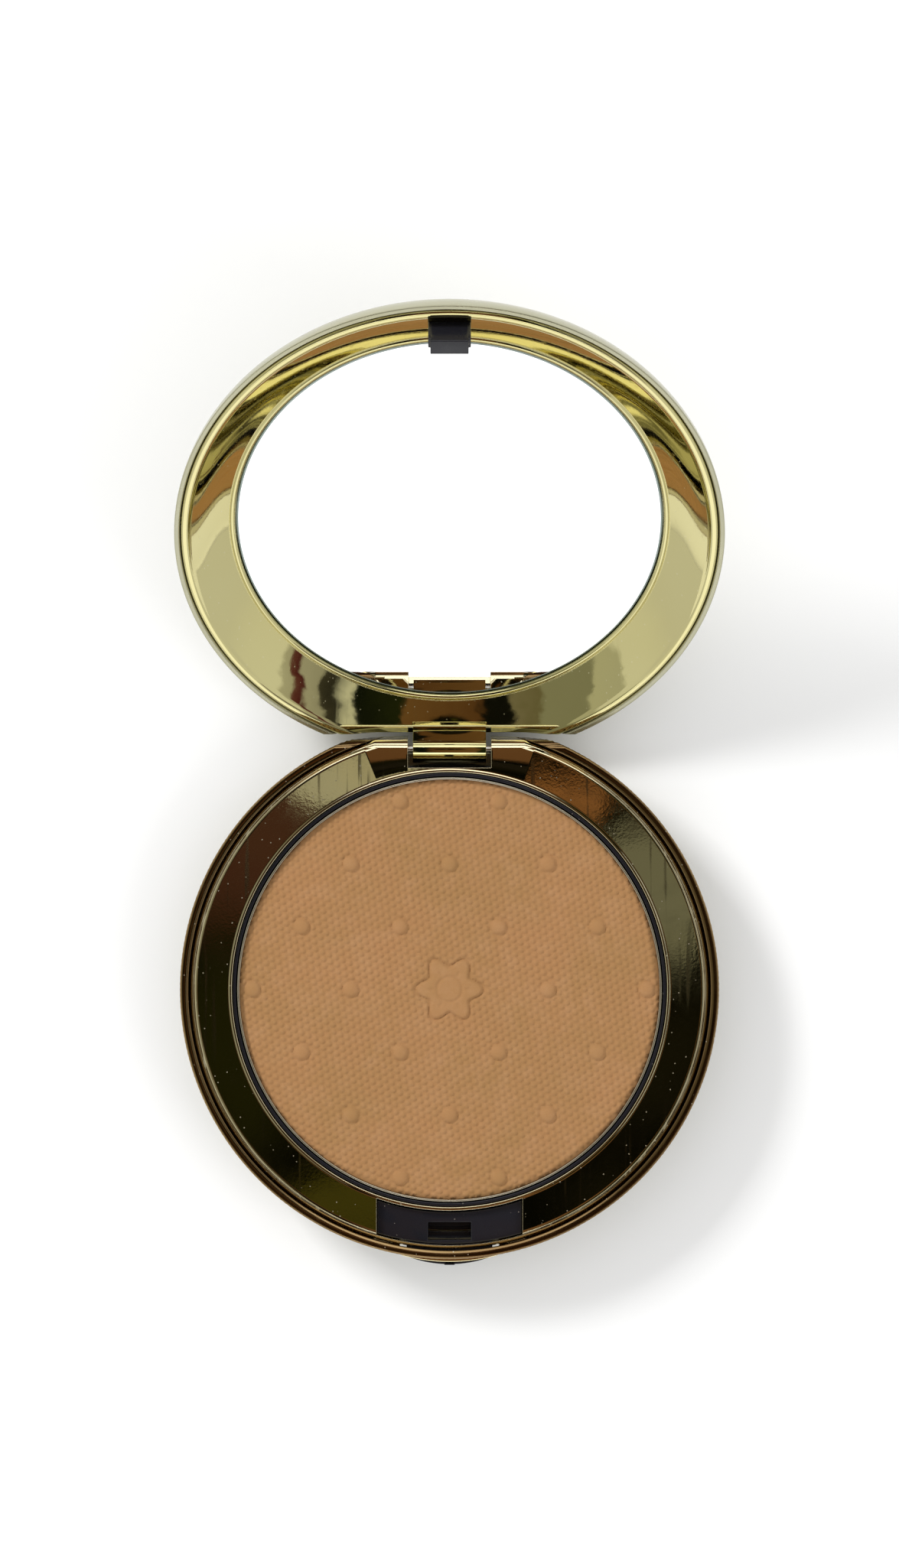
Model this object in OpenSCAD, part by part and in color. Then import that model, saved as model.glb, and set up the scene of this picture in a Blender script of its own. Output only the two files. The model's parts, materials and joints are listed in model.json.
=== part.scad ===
// Round powder compact with a hinged mirror lid, shown with the lid open on its stop.
// Millimetres. The origin is the centre of the foot, +Z is up, the hinge is at +Y,
// the push button is at -Y, and X runs along the hinge pin.

/* [Case] */
// Radius of the base at the parting line
case_r = 37.5; // [37.4:0.05:37.6]
// Height of the base, from the foot to the parting line
base_h = 9.4; // [9.4:0.05:9.6]
// Radius of the lid at the parting line
lid_r = 37.3; // [37.2:0.05:37.4]
// Height of the lid above its rim
lid_h = 7.4; // [7.35:0.05:7.6]
// Gap between lid and base when closed
rim_gap = 0.15; // [0.15:0.05:0.25]

/* [Powder pan] */
// Outer radius of the pan
pan_r = 29.5; // [29.4:0.05:29.5]
// Height of the pan
pan_h = 4.2; // [4.1:0.05:4.2]
// Thickness of the pan's sheet
pan_t = 0.3; // [0.25:0.05:0.3]

/* [Mirror] */
// Radius of the opening that the mirror shows through
mirror_open_r = 29.15; // [29.1:0.05:29.2]
// Thickness of the mirror
mirror_t = 1; // [0.9:0.05:1]
// Depth of the dished frame, from the rim to the mirror's lip
dish_depth = 4.1; // [4:0.05:4.1]

/* [Hinge] */
// How far the lid opens, in degrees
open_angle = 142.4; // [140:0.2:142.4]
// Radius of the hinge pin
pin_r = 0.5; // [0.45:0.01:0.5]
// Running clearance around the pin
pin_fit = 0.03; // [0.02:0.01:0.05]
// Distance of the pin from the centre of the base
pin_y = 33.4; // [33.4:0.05:33.5]
// Depth of the pin under the parting line
pin_drop = 2.5; // [2.5:0.05:2.55]
// Width of the lid's knuckle
knuckle_w = 10.2; // [9.8:0.1:10.4]
// Width of the gap in the base ring
hinge_gap_w = 11.6; // [11.4:0.1:11.8]

/* [Latch] */
// How far the button travels
button_travel = 0.8; // [0.7:0.05:0.8]
// Width of the lid's catch
catch_w = 5.6; // [5.4:0.1:5.6]
// Width of the latch plate that shows in the ring
plate_w = 20; // [19.6:0.1:20]
// Width of the push button
button_w = 13.4; // [13:0.1:13.4]

/* [Hidden] */
$fn = 96;
eps = 0.01;

champagne = [0.80, 0.77, 0.62];
bronze = [0.45, 0.36, 0.22];
dark_gold = [0.62, 0.56, 0.36];
black = [0.06, 0.06, 0.07];
silver = [0.80, 0.80, 0.80];

// Case section: the side is an arc, and a shallow dome meets it without a break
base_edge_r = 7.5;
base_dome_h = 11.4;
lid_edge_r = 6;
wall = 0.8;

// Base ring, side band and the wall that they stand around
ring_in_r = 30.2;
ring_out_r = 36.2;
ring_t = 1;
ring_edge_r = 0.9;
skirt_in_r = 35.25;
band_in_r = 36.25;
band_bottom = base_h - 3.45;
post_in_r = 33.95;
post_out_r = 35.15;
post_top = base_h - 1.1;
shell_step = base_h - 3.5;

// Tray, pan and what lies under them
tray_floor = base_h - 5.5;
tray_t = 1;
tray_r = 33.4;
well_in_r = 29.65;
well_out_r = 30.1;
tape_t = 0.15;
pan_z = tray_floor + tray_t + tape_t;
floor_z = 1.2;
label_r = 15;
label_recess = 0.15;

// Hinge
pin_z = base_h - pin_drop;
barrel_r = 1.3;
arm_back = 1.2;
arm_h = 5.1;
lug_w = 3.4;
facet_y = 34.6;
facet_tilt = 9.5;
facet_round = 0.7;
lid_facet_y = 32.8;
lid_facet_tilt = 20;

// Latch
plate_top = base_h - 0.9;
plate_t = 1.2;
plate_in_r = 31;
plate_out_r = 35.4;
recess_out_r = 35.55;
slot_in = 32.35;
slot_out = 34.9;
window_w = button_w + 0.4;
window_bottom = base_h - 4.05;
window_top = plate_top + 0.15;
button_face_r = 25.4;
button_out = 37.9;
lip_face_r = 16.4;
lip_out = 38.5;
lip_top = base_h - 3.3;
stem_bottom = base_h - 3.75;
catch_out = 33.9;
catch_in = 32.5;
nose_out = 31.85;
catch_tip = base_h - 3.1;
nose_t = 0.9;
spring_x = 8;
spring_z = base_h - 3.1;
spring_r = 0.68;
spring_wire = 0.11;
spring_turns = 4;
spring_y0 = -29.37;
spring_y1 = -31.38;

// Radius of the sphere that forms a dome of height h over an edge arc of radius e
function dome_r(r, e, h) = (pow(r - e, 2) + h * h - e * e) / (2 * (h - e));
// Angle at which the edge arc runs into that dome
function meet_a(r, e, h) = atan2(dome_r(r, e, h) - h, r - e);

// Half section of a pebble of radius r: edge arc of radius e, dome of height h
module pebble_section(r, e, h) {
    big = dome_r(r, e, h);
    meet = meet_a(r, e, h);
    polygon(concat(
        [[0, 0]],
        [for (i = [0 : 14]) let (a = meet * i / 14) [r - e + e * cos(a), e * sin(a)]],
        [for (i = [1 : 10]) let (a = meet + (90 - meet) * i / 10)
            [i == 10 ? 0 : big * cos(a), h - big + big * sin(a)]]
    ));
}

// Section of the base's outside, the right way up and cut off flat at the foot
module base_section(inset = 0) {
    intersection() {
        translate([0, base_h]) mirror([0, 1])
            pebble_section(case_r - inset, base_edge_r - inset, base_dome_h - inset);
        translate([0, inset]) square([case_r, base_h - inset]);
    }
}

// Everything behind the flat at the back of the base, with its rounded top edge
module back_facet_cut() {
    translate([0, facet_y, base_h]) rotate([facet_tilt, 0, 0])
        translate([-25, 0, -12]) cube([50, 12, 14]);
    translate([0, facet_y - facet_round, base_h - facet_round]) difference() {
        translate([-25, 0, 0]) cube([50, 3, 3]);
        rotate([0, 90, 0]) cylinder(r = facet_round, h = 60, center = true);
    }
}

// The gap that the lid's knuckle turns in, open to the back
module hinge_gap_cut() {
    translate([-hinge_gap_w / 2, 30.8, base_h - 4.15]) cube([hinge_gap_w, 10, 6]);
    translate([-hinge_gap_w / 2, 32.9, base_h - 6.3]) cube([hinge_gap_w, 10, 6]);
}

// The hole at the front that the button moves in
module button_window_cut() {
    translate([-window_w / 2, -45, window_bottom])
        cube([window_w, 12, window_top - window_bottom]);
}

// Outer case of the base
module base_shell() {
    color(bronze) difference() {
        union() {
            rotate_extrude() difference() {
                intersection() {
                    base_section();
                    square([case_r, shell_step]);
                }
                polygon([
                    [-1, floor_z], [24, floor_z], [29, 2.6], [31.5, 3.4], [31.5, tray_floor],
                    [post_in_r, tray_floor], [post_in_r, base_h], [-1, base_h]
                ]);
                translate([-1, -1]) square([label_r + 1.4, 1 + label_recess]);
            }
            translate([0, 0, shell_step - 0.5]) difference() {
                cylinder(r = post_out_r, h = post_top - shell_step + 0.5);
                translate([0, 0, -1]) cylinder(r = post_in_r, h = 5);
            }
        }
        back_facet_cut();
        hinge_gap_cut();
        button_window_cut();
        translate([-9.5, 31, pin_z - 1.3]) cube([19, 5, 4]);
        translate([-11.1, -36, plate_top - plate_t - 0.15]) cube([22.2, 5, 3]);
    }
}

// Knurled band around the base
module side_band() {
    color(bronze) difference() {
        rotate_extrude() intersection() {
            base_section();
            translate([band_in_r, band_bottom]) square([3, base_h - band_bottom]);
            union() {
                translate([band_in_r, 0]) square([case_r - band_in_r, base_h - 0.4]);
                translate([band_in_r, 0]) square([case_r - 0.4 - band_in_r, base_h]);
                translate([case_r - 0.4, base_h - 0.4]) circle(r = 0.4);
            }
        }
        back_facet_cut();
        hinge_gap_cut();
        button_window_cut();
    }
}

// One of the two lugs under the ring that hold the pin
module pin_lug() {
    translate([hinge_gap_w / 2, 31.7, pin_z - 1.2]) cube([lug_w, facet_y - 31.75, 2.8]);
}

// Bright ring around the pan, with the latch recess and the hinge lugs
module base_ring() {
    color(dark_gold) difference() {
        union() {
            rotate_extrude() {
                translate([ring_in_r, base_h - ring_t])
                    square([ring_out_r - ring_edge_r - ring_in_r, ring_t]);
                translate([skirt_in_r, base_h - 3.4])
                    square([ring_out_r - skirt_in_r, 3.4 - ring_edge_r]);
                intersection() {
                    translate([ring_out_r - ring_edge_r, base_h - ring_edge_r])
                        circle(r = ring_edge_r);
                    translate([ring_out_r - ring_edge_r - eps, base_h - ring_t])
                        square([2, 2]);
                }
            }
            pin_lug();
            mirror([1, 0, 0]) pin_lug();
        }
        back_facet_cut();
        translate([-hinge_gap_w / 2, 30.8, 0]) cube([hinge_gap_w, 10, 12]);
        button_window_cut();
        intersection() {
            translate([-plate_w / 2 - 0.15, -40, plate_top - plate_t - 0.1])
                cube([plate_w + 0.3, 20, 4]);
            cylinder(r = recess_out_r, h = 12);
        }
        intersection() {
            translate([-11.1, -40, plate_top - plate_t - 0.1])
                cube([22.2, 20, base_h - ring_t - plate_top + plate_t + 0.1]);
            cylinder(r = recess_out_r, h = 12);
        }
        translate([0, pin_y, pin_z]) rotate([0, 90, 0])
            cylinder(r = pin_r + pin_fit, h = 40, center = true);
    }
}

// Ledge of the tray that one end of the latch plate slides on
module slide_ledge() {
    translate([9.4, -31.2, tray_floor + tray_t - eps])
        cube([1.6, 1.9, plate_top - plate_t - 0.05 - tray_floor - tray_t]);
}

// Black tray that holds the pan and guides the latch
module pan_tray() {
    color(black) difference() {
        union() {
            rotate_extrude() {
                translate([0, tray_floor]) square([tray_r, tray_t]);
                translate([well_in_r, tray_floor])
                    square([well_out_r - well_in_r, base_h - 0.3 - tray_floor]);
            }
            slide_ledge();
            mirror([1, 0, 0]) slide_ledge();
        }
        translate([-hinge_gap_w / 2 - 0.1, 31, 2]) cube([hinge_gap_w + 0.2, 10, 6]);
    }
}

// Tin pan with a rolled rim
module powder_pan() {
    color(silver) translate([0, 0, pan_z]) rotate_extrude() {
        square([pan_r, pan_t]);
        translate([pan_r - pan_t, 0]) square([pan_t, pan_h - pan_t / 2]);
        translate([pan_r - pan_t / 2, pan_h - pan_t / 2]) circle(r = pan_t / 2);
    }
}

// Cake of pressed powder
module pressed_powder() {
    color([0.70, 0.52, 0.36]) translate([0, 0, pan_z + pan_t + 0.01])
        cylinder(r = pan_r - pan_t - 0.04, h = pan_h - pan_t - 0.26);
}

// Adhesive pad under the pan
module pan_adhesive() {
    color([0.92, 0.90, 0.84]) translate([0, 0, tray_floor + tray_t])
        cylinder(r = 24, h = tape_t);
}

// Steel disc that keeps the open compact from tipping back
module ballast_disc() {
    color([0.55, 0.56, 0.58]) translate([0, 0, floor_z + tape_t])
        cylinder(r = 23, h = tray_floor - floor_z - 2 * tape_t);
}

// Adhesive disc under the steel disc
module ballast_tape() {
    color([0.92, 0.90, 0.84]) translate([0, 0, floor_z]) cylinder(r = 20, h = tape_t);
}

// Blank label in the recess of the foot
module bottom_label() {
    color([0.90, 0.88, 0.82]) cylinder(r = label_r, h = label_recess);
}

// Steel pin through the lugs and the knuckle
module hinge_pin() {
    color(silver) translate([0, pin_y, pin_z]) rotate([0, 90, 0])
        cylinder(r = pin_r, h = hinge_gap_w + 2 * lug_w - 0.2, center = true);
}

// Piece of a ring between two radii, as wide as w, in front of the centre
module front_sector(r_in, r_out, w, z0, z1) {
    intersection() {
        difference() {
            translate([0, 0, z0]) cylinder(r = r_out, h = z1 - z0);
            translate([0, 0, z0 - 1]) cylinder(r = r_in, h = z1 - z0 + 2);
        }
        translate([-w / 2, -50, z0 - 1]) cube([w, 50, z1 - z0 + 2]);
    }
}

// Black latch plate that the catch hooks under, with the stem of the button
module latch_slider() {
    plate_low = plate_top - plate_t;
    color(black) difference() {
        union() {
            front_sector(plate_in_r, plate_out_r, plate_w, plate_low, plate_top);
            front_sector(plate_in_r, plate_out_r - 0.1, plate_w + 1.8, plate_low,
                base_h - ring_t - 0.1);
            intersection() {
                translate([-button_w / 2 + 0.7, -37.5, stem_bottom])
                    cube([button_w - 1.4, 2.55, plate_top - 0.2 - stem_bottom]);
                cylinder(r = 36.95, h = 12);
            }
            // Lip under the button, with a small rib in its middle
            intersection() {
                translate([-5.9, -40, stem_bottom]) cube([11.8, 4.6, lip_top - stem_bottom]);
                translate([0, lip_face_r - lip_out, 0]) cylinder(r = lip_face_r, h = 12);
            }
            translate([-0.75, -lip_out - 0.1, stem_bottom])
                cube([1.5, 2, lip_top - stem_bottom]);
            for (side = [-1, 1])
                translate([side * spring_x - 0.8, -32.3, base_h - 4.1]) cube([1.6, 0.8, 2.1]);
        }
        translate([-catch_w / 2 - 0.2, -slot_out, 0])
            cube([catch_w + 0.4, slot_out - slot_in, 12]);
    }
}

// Gold cap of the button
module push_button() {
    color(champagne) difference() {
        intersection() {
            translate([-button_w / 2, -45, lip_top + 0.05])
                cube([button_w, 12, plate_top - lip_top - 0.05]);
            translate([0, button_face_r - button_out, 0])
                cylinder(r = button_face_r, h = 12);
        }
        cylinder(r = 37, h = 12);
    }
}

// A point on a coil spring's wire that runs along -Y; a is the angle turned so far
function coil_at(a, x) = [
    x + spring_r * cos(a),
    spring_y0 + (spring_y1 - spring_y0) * a / (360 * spring_turns),
    spring_z + spring_r * sin(a)
];

// Coil spring that pushes the latch plate outwards, centred on x
module latch_spring(x) {
    sides = 8;
    steps = 12 * spring_turns;
    points = [
        for (i = [0 : steps]) let (a = 360 * spring_turns * i / steps, c = coil_at(a, x))
            for (j = [0 : sides - 1]) let (b = 360 * j / sides)
                c + spring_wire * [cos(b) * cos(a), sin(b), cos(b) * sin(a)]
    ];
    walls = [
        for (i = [0 : steps - 1]) for (j = [0 : sides - 1]) let (k = (j + 1) % sides)
            [i * sides + j, i * sides + k, (i + 1) * sides + k, (i + 1) * sides + j]
    ];
    first_end = [for (j = [sides - 1 : -1 : 0]) j];
    last_end = [for (j = [0 : sides - 1]) steps * sides + j];
    color(silver) polyhedron(points = points, faces = concat(walls, [first_end, last_end]));
}

module latch_spring_left() {
    latch_spring(-spring_x);
}

module latch_spring_right() {
    latch_spring(spring_x);
}

// Turns a piece of the closed lid to where it stands with the lid open on its stop
module opened() {
    translate([0, pin_y, pin_z]) rotate([-open_angle, 0, 0])
        translate([0, -pin_y, -pin_z]) children();
}

// Lifts a piece from the rim plane to its closed height on the base
module on_base() {
    translate([0, 0, base_h + rim_gap]) children();
}

// Everything behind the flat at the back of the lid, measured from the rim plane
module lid_facet_cut() {
    translate([0, lid_facet_y, 0]) rotate([-lid_facet_tilt, 0, 0])
        translate([-25, 0, -5]) cube([50, 15, 20]);
}

mirror_front = dish_depth + 0.35;
pad_back = mirror_front + mirror_t + tape_t;

// Outer shell of the lid, closed off behind the bezel along its back flat
module lid_shell() {
    color(champagne) opened() on_base() difference() {
        union() {
            rotate_extrude() difference() {
                pebble_section(lid_r, lid_edge_r, lid_h);
                intersection() {
                    pebble_section(lid_r - wall, lid_edge_r - wall, lid_h - 0.2);
                    translate([0, -1]) square([lid_r, pad_back + 1]);
                }
                translate([-1, -1]) square([lid_r - wall + 1, 1 + eps]);
            }
            intersection() {
                rotate_extrude() difference() {
                    pebble_section(lid_r - 0.2, lid_edge_r - 0.2, lid_h - 0.1);
                    polygon([[-1, -1], [40, -1], [40, 2.2], [35.3, 2.2], [30, 6], [-1, 6]]);
                }
                translate([0, -wall - 0.1, 0]) lid_facet_cut();
            }
        }
        lid_facet_cut();
    }
}

// Dished mirror frame with the hinge knuckle
module lid_bezel() {
    color(champagne) opened() difference() {
        union() {
            on_base() difference() {
                rotate_extrude() {
                    polygon([
                        [35.2, 0.35], [35.95, 0.35], [36.4, 0.55], [36.3, 1], [36, 1.7],
                        [35.3, 1.7], [30.8, 5], [30.6, 5.25], [mirror_open_r, 5.45],
                        [mirror_open_r, dish_depth + 0.15], [30.1, dish_depth]
                    ]);
                    translate([35.85, 0.55]) circle(r = 0.55);
                    translate([29.6, dish_depth + 0.35]) circle(r = 0.45);
                }
                lid_facet_cut();
            }
            on_base() difference() {
                intersection() {
                    rotate_extrude()
                        polygon([[30.5, 0.35], [35.6, 0.35], [35.6, 1], [30.5, 4.6]]);
                    translate([-25, lid_facet_y, 0]) rotate([90, 0, 90])
                        linear_extrude(height = 50)
                            polygon([[-1.13, 0.3], [1, 0.3], [1, 2.2], [0.3, 2.2]]);
                }
                lid_facet_cut();
            }
            intersection() {
                union() {
                    translate([-knuckle_w / 2, pin_y - barrel_r, pin_z])
                        cube([knuckle_w, barrel_r + arm_back, arm_h]);
                    translate([0, pin_y, pin_z]) rotate([0, 90, 0])
                        cylinder(r = barrel_r, h = knuckle_w, center = true);
                }
                cylinder(r = pin_y + arm_back + 0.2, h = 20);
            }
        }
        translate([0, pin_y, pin_z]) rotate([0, 90, 0])
            cylinder(r = pin_r + pin_fit, h = 40, center = true);
        on_base() translate([-catch_w / 2 - 0.02, -catch_out - 0.02, -2])
            cube([catch_w + 0.04, catch_out - catch_in + 0.04, 6]);
    }
}

// Round mirror
module mirror_glass() {
    color([0.88, 0.90, 0.92]) opened() on_base() translate([0, 0, mirror_front])
        cylinder(r = mirror_open_r - 0.08, h = mirror_t);
}

// Adhesive pad between mirror and lid
module mirror_pad() {
    color([0.92, 0.90, 0.84]) opened() on_base() translate([0, 0, mirror_front + mirror_t])
        cylinder(r = 28.2, h = tape_t);
}

// Hook on the lid that snaps under the latch plate
module lid_catch() {
    top = base_h + rim_gap + 3.9;
    color(black) opened() {
        translate([-catch_w / 2, -catch_out, catch_tip + 0.5])
            cube([catch_w, catch_out - catch_in, top - catch_tip - 0.5]);
        translate([-catch_w / 2 + 0.3, -catch_out, catch_tip])
            cube([catch_w - 0.6, catch_out - catch_in, 0.6]);
        translate([-catch_w / 2 + 0.3, -catch_in - 0.05, catch_tip])
            cube([catch_w - 0.6, catch_in - nose_out + 0.05, nose_t]);
    }
}

base_shell();
side_band();
base_ring();
pan_tray();
powder_pan();
pressed_powder();
pan_adhesive();
ballast_disc();
ballast_tape();
bottom_label();
hinge_pin();
latch_slider();
push_button();
latch_spring_left();
latch_spring_right();
lid_shell();
lid_bezel();
mirror_glass();  // mirror
mirror_pad();
lid_catch();
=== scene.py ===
import json
import math

import bmesh
import bpy
import numpy as np
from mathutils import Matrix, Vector


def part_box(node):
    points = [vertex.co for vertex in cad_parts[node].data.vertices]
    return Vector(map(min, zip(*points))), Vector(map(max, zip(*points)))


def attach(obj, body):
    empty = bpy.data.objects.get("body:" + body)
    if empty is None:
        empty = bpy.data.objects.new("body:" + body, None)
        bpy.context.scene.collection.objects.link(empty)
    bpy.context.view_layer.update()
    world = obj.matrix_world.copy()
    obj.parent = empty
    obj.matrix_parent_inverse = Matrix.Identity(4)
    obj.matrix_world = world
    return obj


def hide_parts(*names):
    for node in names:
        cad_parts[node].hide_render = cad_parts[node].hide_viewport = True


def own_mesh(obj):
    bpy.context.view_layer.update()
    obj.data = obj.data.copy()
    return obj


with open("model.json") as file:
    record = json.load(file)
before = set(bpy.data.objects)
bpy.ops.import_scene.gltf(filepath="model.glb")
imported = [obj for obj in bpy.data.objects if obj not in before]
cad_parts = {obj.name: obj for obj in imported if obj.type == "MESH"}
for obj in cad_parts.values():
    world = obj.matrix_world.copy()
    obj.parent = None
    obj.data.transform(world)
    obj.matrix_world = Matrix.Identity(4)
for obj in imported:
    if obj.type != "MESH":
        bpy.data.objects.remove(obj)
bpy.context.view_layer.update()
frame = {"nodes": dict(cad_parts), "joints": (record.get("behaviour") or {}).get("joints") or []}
nodes = frame["nodes"]

# ---------------------------------------------------------------- measures
# Everything is in millimetres, taken from the CAD boxes where they give it, and scaled
# once. Heights are counted with the parting line at 9, and moved by LIFT to the CAD's.
MM = 0.001
PARTING = 9.0
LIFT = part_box("side_band")[1][2] / MM - PARTING


def low(node):
    """Lowest corner of a CAD node at rest, in millimetres."""
    x, y, z = (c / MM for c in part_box(node)[0])
    return x, y, z - LIFT


def high(node):
    """Highest corner of a CAD node at rest, in millimetres."""
    x, y, z = (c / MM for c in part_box(node)[1])
    return x, y, z - LIFT


hinge = next(j for j in frame["joints"] if j["name"] == "lid_hinge")
PIN_Y = hinge["pos_m"][1] / MM
PIN_Z = hinge["pos_m"][2] / MM - LIFT
OPEN = math.radians(hinge["range_deg"][1])
CASE_R = high("side_band")[0]
TOP = high("side_band")[2]
BAND_Z = low("side_band")[2]
RING_R = high("base_ring")[0]
LID_R = high("lid_shell")[0]
RIM = TOP + 0.15
PAN_R = high("powder_pan")[0]
PAN_Z0 = low("powder_pan")[2]
PAN_Z1 = high("powder_pan")[2]
CAKE_R = high("pressed_powder")[0]
CAKE_Z0 = low("pressed_powder")[2]
CAKE_Z1 = high("pressed_powder")[2]
TRAY_R = high("pan_tray")[0]
TRAY_Z0 = low("pan_tray")[2]
TRAY_Z1 = high("pan_tray")[2]
MIRROR_R = high("mirror")[0]
CATCH_W = high("lid_catch")[0]
PLATE_W = 10.0  # half width of the latch plate
PLATE_Z = high("push_button")[2]
EDGE_R, DOME_H = 7.5, 11.4  # base: radius of the edge's arc, height of the whole bowl
LID_EDGE_R, LID_H = 6.0, 7.4  # the same two of the lid
DISH = 4.1  # depth of the bezel's cone
LIP_R = 29.15  # mirror opening
FAR = 30  # cutters across the object reach this far to each side
SIDES = ((-1, "left"), (1, "right"))

BACK_Y, BACK_TILT = 34.6 + 0.12, 9.5  # flat at the back of the base
LID_BACK_Y, LID_BACK_TILT = 32.8, 20  # flat at the back of the lid
LID_BACK_SLOPE = math.tan(math.radians(LID_BACK_TILT))
GAP_W = 5.8  # half width of the hinge gap
BORE_R, PIN_R = 0.53, 0.5
BARREL_R = 1.3  # hinge knuckle
RING_IN_R, SKIRT_R = 30.2, 35.3
ROLL_R = 1.3  # the ring's outer edge
RING_DROP = 0.04  # the ring's top lies this far under the parting line
BAND_IN_R = 36.27
POST_IN_R, POST_OUT_R = 33.97, 35.14  # the base's inner wall
FOOT_HOLE_R = 16.4
WELL_IN_R, WELL_OUT_R = 29.66, 30.12
TIN = 0.3  # thickness of the pan's wall

# ---------------------------------------------------------------- mesh tools


def link(name, verts, faces, smooth=30, in_lid=False):
    """A mesh object from millimetres. in_lid swings it from closed to the rest pose."""
    v = np.asarray(verts, float)
    if in_lid:
        c, s = math.cos(-OPEN), math.sin(-OPEN)
        y, z = v[:, 1] - PIN_Y, v[:, 2] - PIN_Z
        v = np.column_stack([v[:, 0], PIN_Y + y * c - z * s, PIN_Z + y * s + z * c])
    v = v + np.array([0, 0, LIFT])
    me = bpy.data.meshes.new(name)
    me.from_pydata((v * MM).tolist(), [], [list(map(int, f)) for f in faces])
    me.validate()
    me.update()
    o = bpy.data.objects.new(name, me)
    bpy.context.scene.collection.objects.link(o)
    shade(o, smooth)
    return o


def shade(o, angle):
    me = o.data
    me.polygons.foreach_set("use_smooth", [True] * len(me.polygons))
    me.set_sharp_from_angle(angle=math.radians(angle))
    me.update()


def outward(o):
    """Makes every closed shell's faces point out."""
    bm = bmesh.new()
    bm.from_mesh(o.data)
    bmesh.ops.recalc_face_normals(bm, faces=bm.faces)
    bm.to_mesh(o.data)
    bm.free()


def lathe(name, prof, n=720, wave=None, **kw):
    """Turns a closed profile of (r, z) about Z. wave(angles, r, z) may change r."""
    ang = np.arange(n) * 2 * math.pi / n
    verts, rings = [], []
    for r, z in prof:
        if r < 1e-6:
            rings.append([len(verts)])
            verts.append((0, 0, z))
        else:
            rr = wave(ang, r, z) if wave else np.full(n, r)
            rings.append(list(range(len(verts), len(verts) + n)))
            verts += np.column_stack(
                [rr * np.cos(ang), rr * np.sin(ang), np.full(n, z)]
            ).tolist()
    faces = []
    for a, b in zip(rings, rings[1:] + rings[:1]):
        if len(a) == 1 and len(b) == 1:
            continue
        for i in range(n):
            j = (i + 1) % n
            if len(a) == 1:
                faces.append((a[0], b[i], b[j]))
            elif len(b) == 1:
                faces.append((a[i], b[0], a[j]))
            else:
                faces.append((a[i], b[i], b[j], a[j]))
    o = link(name, verts, faces, **kw)
    outward(o)
    return o


def prism(name, pts, lo, hi, axis="z", **kw):
    """Extrudes a polygon. axis z: points are (x, y). axis x: points are (y, z)."""
    n = len(pts)
    if axis == "z":
        verts = [(x, y, lo) for x, y in pts] + [(x, y, hi) for x, y in pts]
    else:
        verts = [(lo, y, z) for y, z in pts] + [(hi, y, z) for y, z in pts]
    faces = [(i, (i + 1) % n, n + (i + 1) % n, n + i) for i in range(n)]
    faces += [tuple(range(n)), tuple(range(n, 2 * n))]
    o = link(name, verts, faces, **kw)
    outward(o)
    return o


def box(x0, x1, y0, y1, z0, z1, name="cutter", **kw):
    return prism(name, [(x0, y0), (x1, y0), (x1, y1), (x0, y1)], z0, z1, **kw)


def bake(o):
    """Applies an object's modifiers."""
    dg = bpy.context.evaluated_depsgraph_get()
    me = bpy.data.meshes.new_from_object(o.evaluated_get(dg))
    old = o.data
    o.modifiers.clear()
    o.data = me
    bpy.data.meshes.remove(old)


def combine(o, others, how="DIFFERENCE", smooth=30):
    for c in others:
        m = o.modifiers.new("b", "BOOLEAN")
        m.operation = how
        m.solver = "EXACT"
        m.object = c
        bake(o)
    for c in others:
        bpy.data.objects.remove(c)
    shade(o, smooth)
    return o


def soften(o, width, segments=3, angle=40):
    m = o.modifiers.new("edge", "BEVEL")
    m.width = width * MM
    m.segments = segments
    m.limit_method = "ANGLE"
    m.angle_limit = math.radians(angle)
    m.harden_normals = False
    bake(o)
    shade(o, 40)
    return o


def arc(cx, cy, r, a0, a1, n):
    """Points of an arc from a0 to a1 degrees, in n steps."""
    return [
        (
            cx + r * math.cos(math.radians(a0 + (a1 - a0) * i / n)),
            cy + r * math.sin(math.radians(a0 + (a1 - a0) * i / n)),
        )
        for i in range(n + 1)
    ]


def dip(cx, cz, r, a0, a1):
    """Points of an arc turned downwards, every 10 degrees."""
    return [
        (cx + r * math.cos(math.radians(a)), cz - r * math.sin(math.radians(a)))
        for a in range(a0, a1, 10)
    ]


def heading(x, y):
    return math.degrees(math.atan2(y, x))


def pin_circle(r, n):
    """Points (y, z) round the pin's axis."""
    turn = np.linspace(0, 2 * math.pi, n + 1)[:-1]
    return [(PIN_Y + r * math.cos(a), PIN_Z + r * math.sin(a)) for a in turn]


def pebble(r, e, h, n_edge, n_dome):
    """Points (radius, height) from the rim up over the dome to the axis."""
    big = ((r - e) ** 2 + h * h - e * e) / (2 * (h - e))
    meet = math.degrees(math.atan2(big - h, r - e))
    pts = arc(r - e, 0, e, 0, meet, n_edge)
    pts += arc(0, h - big, big, meet, 90, n_dome)[1:]
    pts[-1] = (0.0, h)
    return pts


def give(o, body, mat, slot, *replaced):
    o.data.materials.clear()
    o.data.materials.append(mat)
    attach(o, body)
    if replaced:
        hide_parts(*replaced)
    return o


# ---------------------------------------------------------------- materials


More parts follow.
